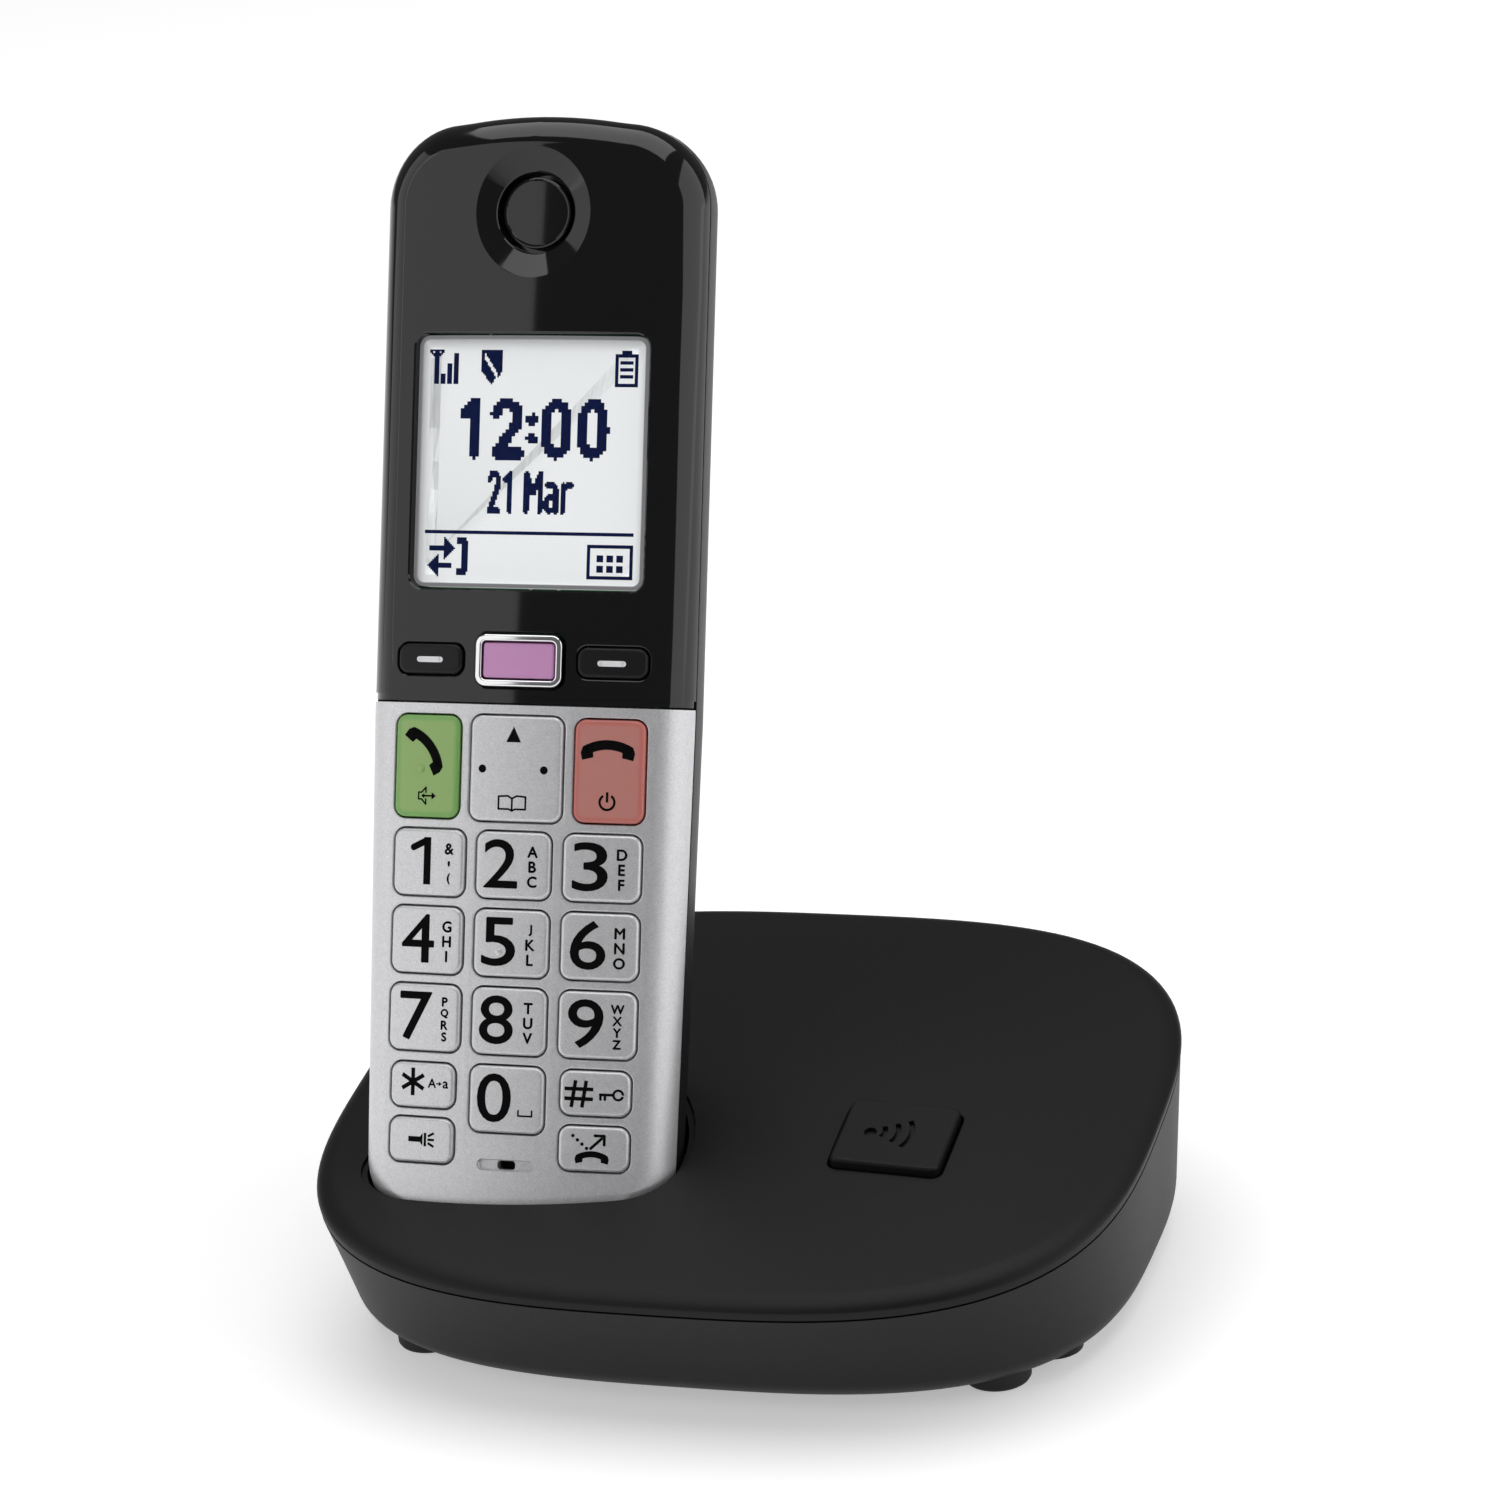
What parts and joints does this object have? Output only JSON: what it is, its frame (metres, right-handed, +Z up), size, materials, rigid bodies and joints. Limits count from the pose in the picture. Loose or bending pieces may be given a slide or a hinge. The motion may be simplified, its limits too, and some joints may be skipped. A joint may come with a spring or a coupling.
{
  "type": "cordless phone with charging base",
  "caption": "Cordless handset with large keys and a lit display, leaning in a low rounded charging base with a locator button.",
  "frame": {"origin": "on the supporting surface, under the middle of the base's outline", "axes": "+Z up, -Y out of the front of the base, +X to the right seen from the front"},
  "size_m": [0.1266, 0.1098, 0.1728],
  "materials": {
    "gloss_black": "mirror gloss",
    "silver_plastic": "fine metallic satin",
    "matte_black": "fine matte grain",
    "clear_window": "clear gloss",
    "display_white": "backlit white",
    "chrome_trim": "polished",
    "green_key": "satin",
    "red_key": "satin",
    "charcoal_key": "satin",
    "lilac_key": "satin, lit from behind",
    "keypad_rubber": "matte",
    "circuit_board": "satin",
    "steel": "satin",
    "contact_metal": "bright plated",
    "battery_wrap": "printed film",
    "torch_lens": "clear",
    "foot_rubber": "matte"
  },
  "bodies": {
    "base": {"base_top_shell": "matte_black", "base_bottom_shell": "matte_black", "page_switch": "matte_black", "base_circuit_board": "circuit_board", "line_jack": "matte_black", "power_jack": "matte_black", "foot_front_left": "foot_rubber", "foot_front_right": "foot_rubber", "foot_rear_left": "foot_rubber", "foot_rear_right": "foot_rubber", "base_screw_front_middle": "steel", "base_screw_front_right": "steel", "base_screw_rear_right": "steel", "base_screw_rear_left": "steel"},
    "handset": {"front_cover": "gloss_black", "keypad_panel": "silver_plastic", "rear_shell": "matte_black", "display_window": "clear_window", "display_module": "display_white", "message_frame": "chrome_trim", "keypad_mat": "keypad_rubber", "handset_circuit_board": "circuit_board", "earpiece_disc": "matte_black", "earpiece_speaker": "steel", "ringer_speaker": "steel", "microphone": "steel", "battery_left": "battery_wrap", "battery_right": "battery_wrap", "battery_contact_upper": "contact_metal", "battery_contact_lower": "contact_metal", "torch_lens": "torch_lens", "torch_led": "torch_lens", "handset_contact_left": "contact_metal", "handset_contact_right": "contact_metal", "handset_screw_left": "steel", "handset_screw_right": "steel"},
    "battery_cover": {"battery_cover": "matte_black"},
    "page_button": {"page_button": "matte_black"},
    "charge_finger_left": {"charge_finger_left": "contact_metal"},
    "charge_finger_right": {"charge_finger_right": "contact_metal"},
    "key_0": {"key_0": "silver_plastic"},
    "key_1": {"key_1": "silver_plastic"},
    "key_2": {"key_2": "silver_plastic"},
    "key_3": {"key_3": "silver_plastic"},
    "key_4": {"key_4": "silver_plastic"},
    "key_5": {"key_5": "silver_plastic"},
    "key_6": {"key_6": "silver_plastic"},
    "key_7": {"key_7": "silver_plastic"},
    "key_8": {"key_8": "silver_plastic"},
    "key_9": {"key_9": "silver_plastic"},
    "key_star": {"key_star": "silver_plastic"},
    "key_hash": {"key_hash": "silver_plastic"},
    "torch_key": {"torch_key": "silver_plastic"},
    "recall_key": {"recall_key": "silver_plastic"},
    "talk_key": {"talk_key": "green_key"},
    "end_key": {"end_key": "red_key"},
    "navigation_key": {"navigation_key": "silver_plastic"},
    "soft_key_left": {"soft_key_left": "charcoal_key"},
    "soft_key_right": {"soft_key_right": "charcoal_key"},
    "message_key": {"message_key": "lilac_key"}
  },
  "joints": [
    {"name": "handset_lift", "type": "slide", "parent": "base", "child": "handset", "axis": [0, 0.3811, 0.9245], "range_m": [0, 0.08]},
    {"name": "battery_cover_slide", "type": "slide", "parent": "handset", "child": "battery_cover", "axis": [0, -0.3811, -0.9245], "range_m": [0, 0.005]},
    {"name": "page_press", "type": "slide", "parent": "base", "child": "page_button", "axis": [-0.0568, 0.1517, -0.9868], "range_m": [0, 0.0008], "stiffness_N_per_m": 2000, "springref_m": -0.0002},
    {"name": "charge_finger_left_spring", "type": "slide", "parent": "base", "child": "charge_finger_left", "axis": [0, -0.3811, -0.9245], "range_m": [0, 0.001], "stiffness_N_per_m": 800, "springref_m": -0.0005},
    {"name": "charge_finger_right_spring", "type": "slide", "parent": "base", "child": "charge_finger_right", "axis": [0, -0.3811, -0.9245], "range_m": [0, 0.001], "stiffness_N_per_m": 800, "springref_m": -0.0005},
    {"name": "key_0_press", "type": "slide", "parent": "handset", "child": "key_0", "axis": [0, 0.9245, -0.3811], "range_m": [0, 0.0006], "stiffness_N_per_m": 2000, "springref_m": -0.0002},
    {"name": "key_1_press", "type": "slide", "parent": "handset", "child": "key_1", "axis": [0, 0.9245, -0.3811], "range_m": [0, 0.0006], "stiffness_N_per_m": 2000, "springref_m": -0.0002},
    {"name": "key_2_press", "type": "slide", "parent": "handset", "child": "key_2", "axis": [0, 0.9245, -0.3811], "range_m": [0, 0.0006], "stiffness_N_per_m": 2000, "springref_m": -0.0002},
    {"name": "key_3_press", "type": "slide", "parent": "handset", "child": "key_3", "axis": [0, 0.9245, -0.3811], "range_m": [0, 0.0006], "stiffness_N_per_m": 2000, "springref_m": -0.0002},
    {"name": "key_4_press", "type": "slide", "parent": "handset", "child": "key_4", "axis": [0, 0.9245, -0.3811], "range_m": [0, 0.0006], "stiffness_N_per_m": 2000, "springref_m": -0.0002},
    {"name": "key_5_press", "type": "slide", "parent": "handset", "child": "key_5", "axis": [0, 0.9245, -0.3811], "range_m": [0, 0.0006], "stiffness_N_per_m": 2000, "springref_m": -0.0002},
    {"name": "key_6_press", "type": "slide", "parent": "handset", "child": "key_6", "axis": [0, 0.9245, -0.3811], "range_m": [0, 0.0006], "stiffness_N_per_m": 2000, "springref_m": -0.0002},
    {"name": "key_7_press", "type": "slide", "parent": "handset", "child": "key_7", "axis": [0, 0.9245, -0.3811], "range_m": [0, 0.0006], "stiffness_N_per_m": 2000, "springref_m": -0.0002},
    {"name": "key_8_press", "type": "slide", "parent": "handset", "child": "key_8", "axis": [0, 0.9245, -0.3811], "range_m": [0, 0.0006], "stiffness_N_per_m": 2000, "springref_m": -0.0002},
    {"name": "key_9_press", "type": "slide", "parent": "handset", "child": "key_9", "axis": [0, 0.9245, -0.3811], "range_m": [0, 0.0006], "stiffness_N_per_m": 2000, "springref_m": -0.0002},
    {"name": "key_star_press", "type": "slide", "parent": "handset", "child": "key_star", "axis": [0, 0.9245, -0.3811], "range_m": [0, 0.0006], "stiffness_N_per_m": 2000, "springref_m": -0.0002},
    {"name": "key_hash_press", "type": "slide", "parent": "handset", "child": "key_hash", "axis": [0, 0.9245, -0.3811], "range_m": [0, 0.0006], "stiffness_N_per_m": 2000, "springref_m": -0.0002},
    {"name": "torch_key_press", "type": "slide", "parent": "handset", "child": "torch_key", "axis": [0, 0.9245, -0.3811], "range_m": [0, 0.0006], "stiffness_N_per_m": 2000, "springref_m": -0.0002},
    {"name": "recall_key_press", "type": "slide", "parent": "handset", "child": "recall_key", "axis": [0, 0.9245, -0.3811], "range_m": [0, 0.0006], "stiffness_N_per_m": 2000, "springref_m": -0.0002},
    {"name": "talk_key_press", "type": "slide", "parent": "handset", "child": "talk_key", "axis": [0, 0.9245, -0.3811], "range_m": [0, 0.0006], "stiffness_N_per_m": 2000, "springref_m": -0.0002},
    {"name": "end_key_press", "type": "slide", "parent": "handset", "child": "end_key", "axis": [0, 0.9245, -0.3811], "range_m": [0, 0.0006], "stiffness_N_per_m": 2000, "springref_m": -0.0002},
    {"name": "navigation_key_press", "type": "slide", "parent": "handset", "child": "navigation_key", "axis": [0, 0.9245, -0.3811], "range_m": [0, 0.0006], "stiffness_N_per_m": 2000, "springref_m": -0.0002},
    {"name": "soft_key_left_press", "type": "slide", "parent": "handset", "child": "soft_key_left", "axis": [0, 0.9245, -0.3811], "range_m": [0, 0.0006], "stiffness_N_per_m": 2000, "springref_m": -0.0002},
    {"name": "soft_key_right_press", "type": "slide", "parent": "handset", "child": "soft_key_right", "axis": [0, 0.9245, -0.3811], "range_m": [0, 0.0006], "stiffness_N_per_m": 2000, "springref_m": -0.0002},
    {"name": "message_key_press", "type": "slide", "parent": "handset", "child": "message_key", "axis": [0, 0.9245, -0.3811], "range_m": [0, 0.0006], "stiffness_N_per_m": 2000, "springref_m": -0.0002}
  ]
}
